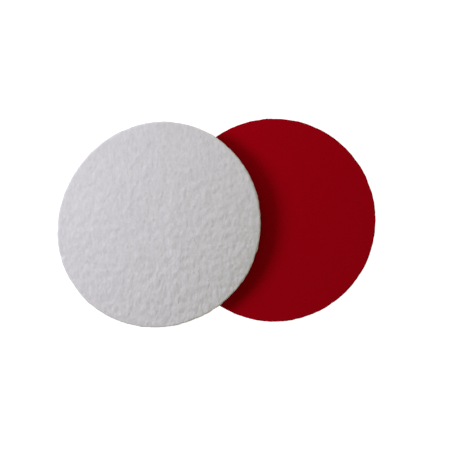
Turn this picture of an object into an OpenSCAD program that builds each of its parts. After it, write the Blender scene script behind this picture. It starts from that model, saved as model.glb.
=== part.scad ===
// Pair of felt polishing wheels with hook-and-loop backing.
// Each wheel is a laminate of three discs: white felt, a bonding film and red loop cloth.
// One wheel lies with its red loop face up, and the other leans on its rim with the felt face up.
// Origin: centre of the pair's footprint, on the surface that it rests on. +Z is up, +X runs from
// the leaning wheel towards the lying one. All sizes are in millimetres.

/* [Wheel] */
// Diameter of each wheel
wheel_d = 125; // [75:5:200]
// Thickness of the white felt
felt_t = 7; // [4:0.5:10]
// Thickness of the bonding film
film_t = 0.4; // [0.2:0.1:0.8]
// Thickness of the red loop cloth
loop_t = 1.6; // [1.2:0.1:2.4]

/* [Edges] */
// Rounding of the felt's working edge
felt_face_r = 1.0; // [0.4:0.1:2.4]
// Rounding of the felt's bonded edge
felt_heel_r = 0.4; // [0.1:0.1:0.8]
// Rounding of both edges of the loop cloth
loop_edge_r = 0.5; // [0.1:0.1:0.55]
// How far the bonding film stops short of the rim
film_inset = 0.8; // [0.2:0.1:2]

/* [Arrangement] */
// Distance between the two wheels' centres, as a share of the diameter
spread = 0.556; // [0.52:0.002:0.9]
// Gap between the leaning wheel and the rim that it leans on
rest_gap = 0.2; // [0.1:0.05:0.4]

/* [Hidden] */

felt_colour = [0.88, 0.88, 0.90];
film_colour = [0.86, 0.82, 0.70];
loop_colour = [0.56, 0.02, 0.06];
disc_fn = 180;
corner_fn = 48;

wheel_r = wheel_d / 2;
wheel_t = loop_t + film_t + felt_t;
film_z = loop_t;
felt_z = loop_t + film_t;

// The leaning wheel's underside passes through the resting surface below its outer edge,
// and rest_gap above the near rim of the lying wheel.
centre_gap = spread * wheel_d;
lean = atan((wheel_t + rest_gap) / centre_gap);
upper_z = wheel_r * tan(lean);

// Furthest point of the leaning wheel to the left of its underside's centre: its rounded felt edge.
upper_reach = (wheel_r - felt_face_r) * cos(lean) + (wheel_t - felt_face_r) * sin(lean) + felt_face_r;
upper_x = (upper_reach - centre_gap - wheel_r) / 2;
lower_x = upper_x + centre_gap;

// What a corner of radius r loses: a square less a quarter circle about the origin.
module corner_waste(r) {
    difference() {
        square(2 * r);
        circle(r, $fn = corner_fn);
    }
}

// A round slab of diameter d and thickness t, standing on z = 0, with rounded rims.
module round_slab(d, t, low_r, high_r) {
    rotate_extrude($fn = disc_fn)
        difference() {
            square([d / 2, t]);
            translate([d / 2 - low_r, low_r]) mirror([0, 1]) corner_waste(low_r);
            translate([d / 2 - high_r, t - high_r]) corner_waste(high_r);
        }
}

// White polishing felt, with its working face up and its bonded face on the film.
module felt_disc() {
    color(felt_colour)
        translate([0, 0, felt_z]) round_slab(wheel_d, felt_t, felt_heel_r, felt_face_r);
}

// Film that bonds the felt to the loop cloth. It stops short of the rim, which leaves a fine groove.
module bond_film() {
    color(film_colour)
        translate([0, 0, film_z]) cylinder(h = film_t, d = wheel_d - 2 * film_inset, $fn = disc_fn);
}

// Red loop cloth, whose outer face grips the hooks of a backing plate.
module loop_backing() {
    color(loop_colour) round_slab(wheel_d, loop_t, loop_edge_r, loop_edge_r);
}

// Turns a wheel over, so that its felt lies on the resting surface and its loop face is up.
module face_down() {
    translate([lower_x, 0, wheel_t]) rotate([180, 0, 0]) children();
}

// Leans a wheel to the right on the lying wheel's rim, with its felt face up.
module leaning() {
    translate([upper_x, 0, upper_z]) rotate([0, -lean, 0]) children();
}

face_down() felt_disc();  // lower_felt_disc
face_down() bond_film();  // lower_bond_film
face_down() loop_backing();  // lower_loop_backing
leaning() felt_disc();  // upper_felt_disc
leaning() bond_film();  // upper_bond_film
leaning() loop_backing();  // upper_loop_backing
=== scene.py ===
"""Looks of the felt polishing wheels: needle-punched felt, bonding film and brushed loop cloth.

Each wheel is built in its own wheel space: the origin is the centre of its loop face, and +Z points
through the laminate to the felt's working face. A wheel's matrix, read off the frame, puts it in place.
"""

import itertools
import math

import bpy
import numpy as np
from mathutils import Matrix, Vector


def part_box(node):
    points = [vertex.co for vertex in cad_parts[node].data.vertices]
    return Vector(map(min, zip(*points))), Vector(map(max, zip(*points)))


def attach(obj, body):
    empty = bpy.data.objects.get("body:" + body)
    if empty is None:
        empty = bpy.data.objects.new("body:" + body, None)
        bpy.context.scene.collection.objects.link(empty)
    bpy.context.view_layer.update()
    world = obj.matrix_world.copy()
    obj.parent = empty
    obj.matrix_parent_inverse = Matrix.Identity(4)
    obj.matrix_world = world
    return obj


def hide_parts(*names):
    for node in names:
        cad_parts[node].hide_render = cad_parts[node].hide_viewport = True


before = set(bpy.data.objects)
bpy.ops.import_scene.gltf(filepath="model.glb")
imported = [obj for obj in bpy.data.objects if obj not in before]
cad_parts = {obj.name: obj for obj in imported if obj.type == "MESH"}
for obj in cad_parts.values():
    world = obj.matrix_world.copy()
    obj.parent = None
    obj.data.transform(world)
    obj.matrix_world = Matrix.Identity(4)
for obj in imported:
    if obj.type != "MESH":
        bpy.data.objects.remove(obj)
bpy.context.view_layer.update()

MM = 0.001
TURN = 2 * math.pi
Y_AXIS = Vector((0, 1, 0))


# ---------------------------------------------------------------- camera

LENS_MM = 120
CAMERA_HEIGHT = 0.932
CAMERA_AIM = (0.0047, -0.0017)
CAMERA_ROLL = math.radians(-2.46)


def make_camera():
    """Looks straight down, with the line of the wheels' centres rising a little to the right."""
    data = bpy.data.cameras.new("camera")
    data.lens = LENS_MM
    camera = bpy.data.objects.new("camera", data)
    camera.location = (*CAMERA_AIM, CAMERA_HEIGHT)
    camera.rotation_euler = (0, 0, CAMERA_ROLL)
    bpy.context.scene.collection.objects.link(camera)
    bpy.context.scene.camera = camera


# ---------------------------------------------------------------- sizes from the frame


def size_of(node):
    low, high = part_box(node)
    return high - low


def centre_of(node):
    low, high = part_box(node)
    return (low + high) / 2


RADIUS = size_of("lower_felt_disc").x / 2
FILM_RADIUS = size_of("lower_bond_film").x / 2
LOOP_T = size_of("lower_loop_backing").z
FILM_T = size_of("lower_bond_film").z
FELT_T = size_of("lower_felt_disc").z
FELT_Z = LOOP_T + FILM_T
WHEEL_T = FELT_Z + FELT_T
FELT_FACE_R = 1.0 * MM
FELT_HEEL_R = 0.4 * MM
LOOP_EDGE_R = 0.5 * MM


def wheel_matrix(which):
    """Takes wheel space to the row frame, from where the wheel's nodes lie."""
    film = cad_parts[f"{which}_bond_film"].data
    axis = max(film.polygons, key=lambda face: face.area).normal.copy()
    if axis.dot(centre_of(f"{which}_felt_disc") - centre_of(f"{which}_loop_backing")) < 0:
        axis.negate()
    across = Y_AXIS.cross(axis)
    origin = centre_of(f"{which}_bond_film") - axis * (LOOP_T + FILM_T / 2)
    turn = Matrix((across, Y_AXIS, axis)).transposed().to_4x4()
    return Matrix.Translation(origin) @ turn


# ---------------------------------------------------------------- noise


def gradient_noise(points, seed):
    """Smooth noise from about -1 to 1 at each of the points, one feature to a unit."""
    table = np.random.default_rng(seed).normal(size=(1024, 3))
    table /= np.linalg.norm(table, axis=1)[:, None]
    cell = np.floor(points).astype(np.int64)
    local = points - cell
    fade = local**3 * (local * (6 * local - 15) + 10)
    total = np.zeros(len(points))
    for corner in itertools.product((0, 1), repeat=3):
        at = cell + corner
        hashed = (at[:, 0] * 73856093) ^ (at[:, 1] * 19349663) ^ (at[:, 2] * 83492791)
        weight = np.prod(np.where(corner, fade, 1 - fade), axis=1)
        total += weight * np.einsum("ij,ij->i", table[hashed & 1023], local - corner)
    return 1.6 * total


# ---------------------------------------------------------------- wheel shape


def felt_relief(points, seed):
    """Height of the felt over its smooth form: soft waves and hills, needled tufts that run a little
    aslant of Y, puckers between them, loose fibre, and the split layers of the cut rim. One side of the
    face is rougher than the other."""
    mm = points / MM
    waves = gradient_noise(mm / 20, seed)
    hills = gradient_noise(mm / 4.6, seed + 6)
    warp = gradient_noise(mm / 5, seed + 1)
    slanted = mm[:, 0] - 0.15 * mm[:, 1] + 0.9 * warp
    tufts = gradient_noise(np.column_stack((slanted / 1.1, mm[:, 1] / 2.1, mm[:, 2] / 1.2)), seed + 2)
    puckers = gradient_noise(np.column_stack((slanted / 2.1, mm[:, 1] / 3.8, mm[:, 2] / 2.0)), seed + 3)
    loose = gradient_noise(mm / 0.8, seed + 4)
    layers = gradient_noise(np.column_stack((mm[:, :2] / 5.0, mm[:, 2] / 0.55)), seed + 5)
    rim = np.clip((np.hypot(points[:, 0], points[:, 1]) - RADIUS + FELT_FACE_R) / FELT_FACE_R, 0, 1)
    rough = 1 + 0.42 * (0.4 * points[:, 0] - 0.9 * points[:, 1]) / RADIUS
    face = 0.18 * waves + rough * (0.22 * hills + 0.087 * tufts + 0.13 * puckers + 0.058 * loose)
    return MM * (face * (1 - 0.4 * rim) + 0.14 * layers * rim)


def loop_relief(points, seed):
    """Height of the brushed loop cloth over its smooth form: a close, even nap."""
    mm = points / MM
    waves = gradient_noise(mm / 18, seed)
    nap = gradient_noise(mm / 0.9, seed + 1)
    return MM * (0.04 * waves + 0.025 * nap)


def film_relief(points, seed):
    """Height of the film over its smooth form: beads where it was squeezed out."""
    return MM * 0.22 * gradient_noise(points / MM / 3.5, seed)


def die_cut(points, seed):
    """Swells and pinches the wheel's outline a little, as a worn die and soft felt leave it."""
    reach = np.hypot(points[:, 0], points[:, 1])
    heading = points[:, :2] / np.maximum(reach, 1e-9)[:, None]
    around = np.column_stack((heading * RADIUS / MM, np.zeros(len(points))))
    swell = 0.16 * gradient_noise(around / 12, seed) + 0.16 * gradient_noise(around / 4.5, seed + 1)
    swell += 0.12 * gradient_noise(around / 1.9, seed + 2)
    share = np.clip((reach / RADIUS - 0.8) / 0.2, 0, 1) ** 2
    moved = points.copy()
    moved[:, :2] += heading * (MM * swell * share)[:, None]
    return moved


def unit_disc(steps):
    """Points of a unit disc in an even grid of quads, the quads, and the rim's points in turn."""
    side = np.linspace(-1, 1, steps + 1)
    a, b = (g.ravel() for g in np.meshgrid(side, side))
    wide = np.abs(a) > np.abs(b)
    radius = np.where(wide, a, b)
    near = np.where(wide, b, a) / np.where(radius == 0, 1, radius)
    angle = np.where(wide, TURN / 8 * near, TURN / 4 - TURN / 8 * near)
    points = np.column_stack((radius * np.cos(angle), radius * np.sin(angle)))
    index = np.arange((steps + 1) ** 2).reshape(steps + 1, steps + 1)
    quads = np.stack((index[:-1, :-1], index[:-1, 1:], index[1:, 1:], index[1:, :-1]), -1).reshape(-1, 4)
    rim = np.concatenate((index[0, :-1], index[:-1, -1], index[-1, :0:-1], index[:0:-1, 0]))
    return points, quads, rim


def rim_profile(radius, height, face_r, heel_r, arc_steps, wall_steps, lap):
    """(radius, depth below the face, outward share, upward share) of each ring, from the face's edge to
    a ring on the back, lap in from the rim."""
    rings = []
    for k in range(1, arc_steps + 1):
        turn = TURN / 4 * k / arc_steps
        rings.append((radius - face_r + face_r * math.sin(turn), face_r * (1 - math.cos(turn)),
                      math.sin(turn), math.cos(turn)))
    wall = height - face_r - heel_r
    for k in range(1, wall_steps + 1):
        rings.append((radius, face_r + wall * k / wall_steps, 1, 0))
    for k in range(1, 4):
        turn = TURN / 4 * k / 3
        rings.append((radius - heel_r + heel_r * math.cos(turn), height - heel_r + heel_r * math.sin(turn),
                      math.cos(turn) * (k < 3), 0))
    rings.append((radius - lap, height, 0, 0))
    return np.array(rings)


def slab(name, steps, radius, face_z, back_z, face_r, heel_r, relief, seed, arc_steps, wall_steps, lap):
    """A round slab whose face and rim carry a relief, and whose back is flat. Made in wheel space."""
    up = 1 if face_z > back_z else -1
    flat, quads, rim = unit_disc(steps)
    heading = flat[rim]
    rings = rim_profile(radius, abs(face_z - back_z), face_r, heel_r, arc_steps, wall_steps, lap)
    face = np.column_stack((flat * (radius - face_r), np.full(len(flat), face_z)))
    walls = [
        np.column_stack((heading * r, np.full(len(rim), face_z - up * depth)))
        for r, depth, _, _ in rings
    ]
    points = np.vstack((face, *walls, [[0, 0, back_z]]))
    normals = np.vstack((
        np.tile((0, 0, up), (len(face), 1)),
        *[np.column_stack((heading * out, np.full(len(rim), up * rise))) for _, _, out, rise in rings],
        [[0, 0, 0]],
    ))
    points = points + normals * relief(points, seed)[:, None]

    faces = quads.tolist()
    before = rim
    for k in range(len(rings)):
        ring = len(face) + k * len(rim) + np.arange(len(rim))
        faces += np.column_stack((before, ring, np.roll(ring, -1), np.roll(before, -1))).tolist()
        before = ring
    middle = len(points) - 1
    faces += [(b, a, middle) for a, b in zip(before.tolist(), np.roll(before, -1).tolist())]
    if up < 0:
        faces = [f[::-1] for f in faces]
    return make_object(name, points, faces)


def make_object(name, points, faces):
    mesh = bpy.data.meshes.new(name)
    mesh.from_pydata(points.tolist(), [], faces)
    mesh.polygons.foreach_set("use_smooth", [True] * len(mesh.polygons))
    made = bpy.data.objects.new(name, mesh)
    bpy.context.scene.collection.objects.link(made)
    return made


# ---------------------------------------------------------------- fibres

FIBRE_RINGS = 5
FIBRE_SIDES = 3
FELT_LYING, FELT_STANDING = 2600, 1500
LOOP_LYING, LOOP_STANDING = 2600, 900


def fibre_tubes(name, paths, thickness):
    """Closed tapering tubes along paths, an array of fibres by rings by three coordinates."""
    count, rings, _ = paths.shape
    along = np.gradient(paths, axis=1)
    along /= np.linalg.norm(along, axis=2, keepdims=True) + 1e-12
    side = np.cross(along, (0.31, 0.17, 0.93))
    side /= np.linalg.norm(side, axis=2, keepdims=True) + 1e-12
    other = np.cross(along, side)
    taper = np.sin(np.linspace(0.18, 0.82, rings) * math.pi)
    radius = thickness[:, None, None] * taper[None, :, None] / 2
    corners = [
        paths + radius * (math.cos(TURN * k / FIBRE_SIDES) * side + math.sin(TURN * k / FIBRE_SIDES) * other)
        for k in range(FIBRE_SIDES)
    ]
    body = np.stack(corners, axis=2).reshape(count, -1, 3)
    start = paths[:, :1] - along[:, :1] * radius[:, :1] * 2
    end = paths[:, -1:] + along[:, -1:] * radius[:, -1:] * 2
    points = np.concatenate((body, start, end), axis=1)
    faces = []
    for ring in range(rings - 1):
        for k in range(FIBRE_SIDES):
            a, b = ring * FIBRE_SIDES + k, ring * FIBRE_SIDES + (k + 1) % FIBRE_SIDES
            faces.append((a, b, b + FIBRE_SIDES))
            faces.append((a, b + FIBRE_SIDES, a + FIBRE_SIDES))
    root, tip, last = rings * FIBRE_SIDES, rings * FIBRE_SIDES + 1, (rings - 1) * FIBRE_SIDES
    for k in range(FIBRE_SIDES):
        turned = (k + 1) % FIBRE_SIDES
        faces.append((root, turned, k))
        faces.append((tip, last + k, last + turned))
    faces = np.array(faces)[None] + np.arange(count)[:, None, None] * points.shape[1]
    return make_object(name, points.reshape(-1, 3), faces.reshape(-1, 3).tolist())


def lying_fibres(rng, count, radius, face_z, up, relief, seed, length, lift, along_y):
    """Paths of fibres that lie on a face, rooted at both ends. along_y is how strongly they follow Y."""
    spot = radius * np.sqrt(rng.uniform(0, 1, count))
    angle = rng.uniform(0, TURN, count)
    heading = TURN / 4 + rng.normal(0, 1, count) * (1.6 - along_y)
    bend = rng.normal(0, 0.9, count)
    reach = rng.uniform(*length, count) * MM
    rise = rng.uniform(*lift, count) * MM
    paths = np.zeros((count, FIBRE_RINGS, 3))
    x, y = spot * np.cos(angle), spot * np.sin(angle)
    for k in range(FIBRE_RINGS):
        t = k / (FIBRE_RINGS - 1)
        paths[:, k, 0], paths[:, k, 1], paths[:, k, 2] = x, y, face_z
        here = relief(paths[:, k], seed)
        paths[:, k, 2] += up * (here + rise * math.sin(math.pi * t) - 0.03 * MM)
        x = x + np.cos(heading + bend * t) * reach / (FIBRE_RINGS - 1)
        y = y + np.sin(heading + bend * t) * reach / (FIBRE_RINGS - 1)
    far = np.linalg.norm(paths[:, :, :2], axis=2).max(1)
    return paths[far < radius]


def rim_fibres(rng, count, radius, low_z, high_z, reach_mm):
    """Paths of short fibres that stand out of the rim's wall and curl."""
    angle = rng.uniform(0, TURN, count)
    z = rng.uniform(low_z, high_z, count)
    reach = rng.uniform(*reach_mm, count) * MM
    swing = rng.normal(0, 1.1, count)
    climb = rng.normal(0, 0.5, count)
    curl = rng.normal(0, 1.2, count)
    paths = np.zeros((count, FIBRE_RINGS, 3))
    out = np.full(count, radius - 0.12 * MM)
    for k in range(FIBRE_RINGS):
        t = k / (FIBRE_RINGS - 1)
        paths[:, k] = np.column_stack((out * np.cos(angle), out * np.sin(angle), z))
        step = reach / (FIBRE_RINGS - 1)
        lean = swing * (0.4 + t) + curl * t * t
        out = out + step * np.cos(lean) * 0.8
        angle = angle + step * np.sin(lean) / radius
        z = z + step * climb * (1 - t)
    return paths


# ---------------------------------------------------------------- set of each wheel

# The leaning wheel's outline: how far it is out of round, twofold and threefold, and which way.
OVAL_SHARE = 0.0253
OVAL_ANGLE = math.radians(46)
EGG_SHARE = 0.0045
EGG_ANGLE = math.radians(-34)

# How far the leaning wheel has slid down, and how far its low edge is raised to stay on the surface.
SLID = 0.85 * MM
TOE_LIFT = 0.45 * MM

# Its dome, as curvatures in 1/m along and across the droop, and the droop beyond SUPPORT from its centre.
CURL_AHEAD, CURL_ACROSS = 0.77, 0.6
SUPPORT = 7 * MM
DROOP = 3.0 * MM
DROOP_ANGLE = math.radians(-32)

# Its contact: the clearance kept below it, how softly the lift sets in, and how far outside the lying
# wheel's rim it starts.
CLEARANCE = 0.25 * MM
CREEP = 0.4 * MM
SHOULDER = 16 * MM

# The share that is left of what would stand below the surface, where the lying wheel is pressed flat.
PRESSED = 0.1


def held_up(x, y, rise):
    """How far the leaning wheel is held up where its underside would meet the surface or the lying wheel."""
    under = np.array(wheel_matrix("upper"))[:3] @ np.stack((x, y, rise, np.ones(len(x))))
    lying = wheel_matrix("lower").translation
    beyond = np.hypot(under[0] - lying.x, under[1] - lying.y) - RADIUS
    share = np.clip(1 - beyond / SHOULDER, 0, 1)
    ground = WHEEL_T * share**2 * (3 - 2 * share)
    return CREEP * np.log1p(np.exp((ground + CLEARANCE - under[2]) / CREEP))


def lean(points):
    """The leaning wheel's own set: stretched a little out of round, domed between the surface and the rim
    that hold it up, drooping past that rim, and slid down a little."""
    x, y, z = points.T
    angle = np.arctan2(y, x)
    scale = 1 + OVAL_SHARE * np.cos(2 * (angle - OVAL_ANGLE)) + EGG_SHARE * np.cos(3 * (angle - EGG_ANGLE))
    x, y = x * scale, y * scale
    ahead_x, ahead_y = math.cos(DROOP_ANGLE), math.sin(DROOP_ANGLE)
    ahead = x * ahead_x + y * ahead_y
    across = y * ahead_x - x * ahead_y
    past = np.maximum(ahead - SUPPORT, 0) / RADIUS
    rise = -CURL_AHEAD / 2 * (ahead + RADIUS) * (ahead - SUPPORT) - CURL_ACROSS / 2 * across**2
    rise -= DROOP * past**4
    steep_ahead = -CURL_AHEAD / 2 * (2 * ahead + RADIUS - SUPPORT) - 4 * DROOP * past**3 / RADIUS
    steep_across = -CURL_ACROSS * across
    rise += TOE_LIFT * (SUPPORT - x) / (RADIUS + SUPPORT)
    rise += held_up(x - SLID, y, rise)
    above = z - WHEEL_T / 2
    x = x - above * (steep_ahead * ahead_x - steep_across * ahead_y)
    y = y - above * (steep_ahead * ahead_y + steep_across * ahead_x)
    return np.column_stack((x - SLID, y, z + rise))


def press(points):
    """The lying wheel's own set: felt that would stand below the surface is pressed flat on it."""
    below = np.maximum(points[:, 2] - WHEEL_T, 0)
    return points - np.column_stack((0 * below, 0 * below, (1 - PRESSED) * below))


# ---------------------------------------------------------------- materials


def new_material(name):
    material = bpy.data.materials.new(name)
    material.use_nodes = True
    nodes = material.node_tree.nodes
    return material, nodes, material.node_tree.links, nodes["Principled BSDF"]


def add(nodes, kind, **values):
    node = nodes.new(kind)
    for key, value in values.items():
        if hasattr(node, key):
            setattr(node, key, value)
        else:
            node.inputs[key.replace("_", " ").capitalize()].default_value = value
    return node


def felt_material(name):
    material, nodes, links, shader = new_material(name)
    shader.inputs["Roughness"].default_value = 0.95
    shader.inputs["Specular IOR Level"].default_value = 0.12
    shader.inputs["Sheen Weight"].default_value = 0.08
    shader.inputs["Sheen Roughness"].default_value = 0.5
    place = add(nodes, "ShaderNodeTexCoord")
    stretch = add(nodes, "ShaderNodeMapping")
    stretch.inputs["Scale"].default_value = (1, 0.55, 1)
    links.new(place.outputs["Object"], stretch.inputs["Vector"])
    cloud = add(nodes, "ShaderNodeTexNoise", scale=560, detail=5, roughness=0.7, distortion=0.6)
    links.new(stretch.outputs["Vector"], cloud.inputs["Vector"])
    tone = add(nodes, "ShaderNodeValToRGB")
    tone.color_ramp.elements[0].position, tone.color_ramp.elements[1].position = 0.32, 0.68
    tone.color_ramp.elements[0].color = (0.655, 0.641, 0.641, 1)
    tone.color_ramp.elements[1].color = (0.755, 0.739, 0.739, 1)
    links.new(cloud.outputs["Fac"], tone.inputs["Fac"])
    links.new(tone.outputs["Color"], shader.inputs["Base Color"])
    fibre = add(nodes, "ShaderNodeTexNoise", scale=1500, detail=4, roughness=0.7, distortion=1.0)
    links.new(stretch.outputs["Vector"], fibre.inputs["Vector"])
    bump = add(nodes, "ShaderNodeBump", strength=0.33, distance=0.0002)
    links.new(fibre.outputs["Fac"], bump.inputs["Height"])
    links.new(bump.outputs["Normal"], shader.inputs["Normal"])
    return material


def loop_material(name):
    material, nodes, links, shader = new_material(name)
    shader.inputs["Roughness"].default_value = 1.0
    shader.inputs["Specular IOR Level"].default_value = 0.0
    shader.inputs["Sheen Weight"].default_value = 0.05
    shader.inputs["Sheen Tint"].default_value = (1.0, 0.05, 0.06, 1)
    place = add(nodes, "ShaderNodeTexCoord")
    cloud = add(nodes, "ShaderNodeTexNoise", scale=900, detail=3, roughness=0.6)
    links.new(place.outputs["Object"], cloud.inputs["Vector"])
    tone = add(nodes, "ShaderNodeValToRGB")
    tone.color_ramp.elements[0].position, tone.color_ramp.elements[1].position = 0.3, 0.7
    tone.color_ramp.elements[0].color = (0.350, 0.0009, 0.0060, 1)
    tone.color_ramp.elements[1].color = (0.403, 0.0010, 0.0073, 1)
    links.new(cloud.outputs["Fac"], tone.inputs["Fac"])
    links.new(tone.outputs["Color"], shader.inputs["Base Color"])
    nap = add(nodes, "ShaderNodeTexNoise", scale=3000, detail=2, roughness=0.6)
    links.new(place.outputs["Object"], nap.inputs["Vector"])
    bump = add(nodes, "ShaderNodeBump", strength=0.25, distance=0.0001)
    links.new(nap.outputs["Fac"], bump.inputs["Height"])
    links.new(bump.outputs["Normal"], shader.inputs["Normal"])
    return material


def film_material(name):
    material, nodes, links, shader = new_material(name)
    shader.inputs["Roughness"].default_value = 0.45
    place = add(nodes, "ShaderNodeTexCoord")
    cloud = add(nodes, "ShaderNodeTexNoise", scale=500, detail=2, roughness=0.5)
    links.new(place.outputs["Object"], cloud.inputs["Vector"])
    tone = add(nodes, "ShaderNodeValToRGB")
    tone.color_ramp.elements[0].color = (0.62, 0.56, 0.42, 1)
    tone.color_ramp.elements[1].color = (0.80, 0.74, 0.60, 1)
    links.new(cloud.outputs["Fac"], tone.inputs["Fac"])
    links.new(tone.outputs["Color"], shader.inputs["Base Color"])
    return material


FELT = felt_material("white_felt")
LOOP = loop_material("red_loop")
FILM = film_material("bond_film")


# ---------------------------------------------------------------- building a wheel


def place_piece(piece, which, matrix, material, seed, settle):
    """Cuts and settles a piece, moves its mesh to the row frame, and puts it on its wheel's body."""
    flat = np.zeros(len(piece.data.vertices) * 3)
    piece.data.vertices.foreach_get("co", flat)
    cut = die_cut(flat.reshape(-1, 3), seed + 30)
    piece.data.vertices.foreach_set("co", settle(cut).ravel())
    piece.data.transform(matrix)
    piece.data.update()
    piece.data.materials.append(material)
    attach(piece, f"{which}_wheel")


def make_wheel(which, seed, settle):
    matrix = wheel_matrix(which)
    rng = np.random.default_rng(seed)

    felt = slab(f"{which}_felt", 250, RADIUS, WHEEL_T, FELT_Z, FELT_FACE_R, FELT_HEEL_R,
                felt_relief, seed, arc_steps=4, wall_steps=16, lap=3 * MM)
    place_piece(felt, which, matrix, FELT, seed, settle)
    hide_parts(f"{which}_felt_disc")

    film = slab(f"{which}_film", 60, FILM_RADIUS, FELT_Z, LOOP_T, 0.1 * MM, 0.1 * MM,
                film_relief, seed + 10, arc_steps=2, wall_steps=2, lap=1 * MM)
    place_piece(film, which, matrix, FILM, seed, settle)
    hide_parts(f"{which}_bond_film")

    loop = slab(f"{which}_loop_cloth", 170, RADIUS, 0, LOOP_T, LOOP_EDGE_R, LOOP_EDGE_R,
                loop_relief, seed + 20, arc_steps=3, wall_steps=3, lap=3 * MM)
    place_piece(loop, which, matrix, LOOP, seed, settle)
    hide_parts(f"{which}_loop_backing")

    paths = lying_fibres(rng, FELT_LYING, RADIUS - FELT_FACE_R, WHEEL_T, 1, felt_relief, seed,
                         (1.2, 3.5), (0.02, 0.12), 0.8)
    rim = rim_fibres(rng, FELT_STANDING, RADIUS, FELT_Z + 0.5 * MM, WHEEL_T - FELT_FACE_R, (0.25, 0.7))
    paths = np.concatenate((paths, rim))
    fuzz = fibre_tubes(f"{which}_felt_fibres", paths, rng.uniform(0.03, 0.06, len(paths)) * MM)
    place_piece(fuzz, which, matrix, FELT, seed, settle)

    paths = lying_fibres(rng, LOOP_LYING, RADIUS - LOOP_EDGE_R, 0, -1, loop_relief, seed + 20,
                         (0.5, 1.2), (0.10, 0.25), 0.0)
    rim = rim_fibres(rng, LOOP_STANDING, RADIUS, 0.3 * MM, LOOP_T - 0.3 * MM, (0.25, 0.6))
    paths = np.concatenate((paths, rim))
    pile = fibre_tubes(f"{which}_loop_pile", paths, rng.uniform(0.04, 0.07, len(paths)) * MM)
    place_piece(pile, which, matrix, LOOP, seed, settle)


# ---------------------------------------------------------------- studio

KEY_WATTS = 1.45
KEY_COLOUR = (1.0, 1.0, 1.20)
BACK_WATTS = 2.2
BACK_COLOUR = (0.98, 1.0, 1.12)
SIDE_WATTS = 0.50
SIDE_COLOUR = (1.0, 0.98, 0.40)
SKY_STRENGTH = 0.180
SKY_COLOUR = (1.0, 0.98, 0.66, 1)
STAGE_RADIUS = 4


def softbox(name, place, aim, size, watts, colour):
    light = bpy.data.lights.new(name, "AREA")
    light.shape = "RECTANGLE"
    light.size, light.size_y = size
    light.energy = watts
    light.color = colour
    lamp = bpy.data.objects.new(name, light)
    lamp.location = place
    lamp.rotation_mode = "QUATERNION"
    lamp.rotation_quaternion = (Vector(place) - Vector(aim)).to_track_quat("Z", "Y")
    bpy.context.scene.collection.objects.link(lamp)


def make_floor():
    """A pale floor that is lit from behind, so that it stays near white."""
    bpy.ops.mesh.primitive_circle_add(vertices=64, radius=STAGE_RADIUS, fill_type="NGON")
    floor = bpy.context.object
    floor.name = "floor"
    material, _, _, shader = new_material("pale_floor")
    shader.inputs["Base Color"].default_value = (0.3, 0.3, 0.3, 1)
    shader.inputs["Roughness"].default_value = 1.0
    shader.inputs["Specular IOR Level"].default_value = 0.0
    shader.inputs["Emission Color"].default_value = (1, 1, 1, 1)
    shader.inputs["Emission Strength"].default_value = 0.97
    floor.data.materials.append(material)
    floor.visible_glossy = False


def make_backdrop():
    """A white dome that only the camera sees, so that low views have a plain pale background."""
    bpy.ops.mesh.primitive_uv_sphere_add(segments=48, ring_count=24, radius=STAGE_RADIUS)
    dome = bpy.context.object
    dome.name = "backdrop"
    material, nodes, links, _ = new_material("pale_backdrop")
    glow = nodes.new("ShaderNodeEmission")
    glow.inputs["Strength"].default_value = 1.0
    links.new(glow.outputs["Emission"], nodes["Material Output"].inputs["Surface"])
    dome.data.materials.append(material)
    dome.visible_diffuse = False
    dome.visible_glossy = False
    dome.visible_shadow = False
    dome.visible_transmission = False


def make_studio():
    scene = bpy.context.scene
    scene.view_settings.view_transform = "Standard"
    world = bpy.data.worlds.new("studio")
    world.use_nodes = True
    world.node_tree.nodes["Background"].inputs["Color"].default_value = SKY_COLOUR
    world.node_tree.nodes["Background"].inputs["Strength"].default_value = SKY_STRENGTH
    scene.world = world
    softbox("key", (-0.370, 0.065, 0.363), (0, 0, 0), (0.20, 0.20), KEY_WATTS, KEY_COLOUR)
    softbox("back", (-0.14, 0.68, 0.36), (0, 0, 0), (1.2, 0.43), BACK_WATTS, BACK_COLOUR)
    softbox("side", (0.60, 0.05, 0.50), (0, 0, 0), (0.5, 0.5), SIDE_WATTS, SIDE_COLOUR)
    make_floor()
    make_backdrop()


make_camera()
make_studio()
make_wheel("lower", 100, press)
make_wheel("upper", 200, lean)
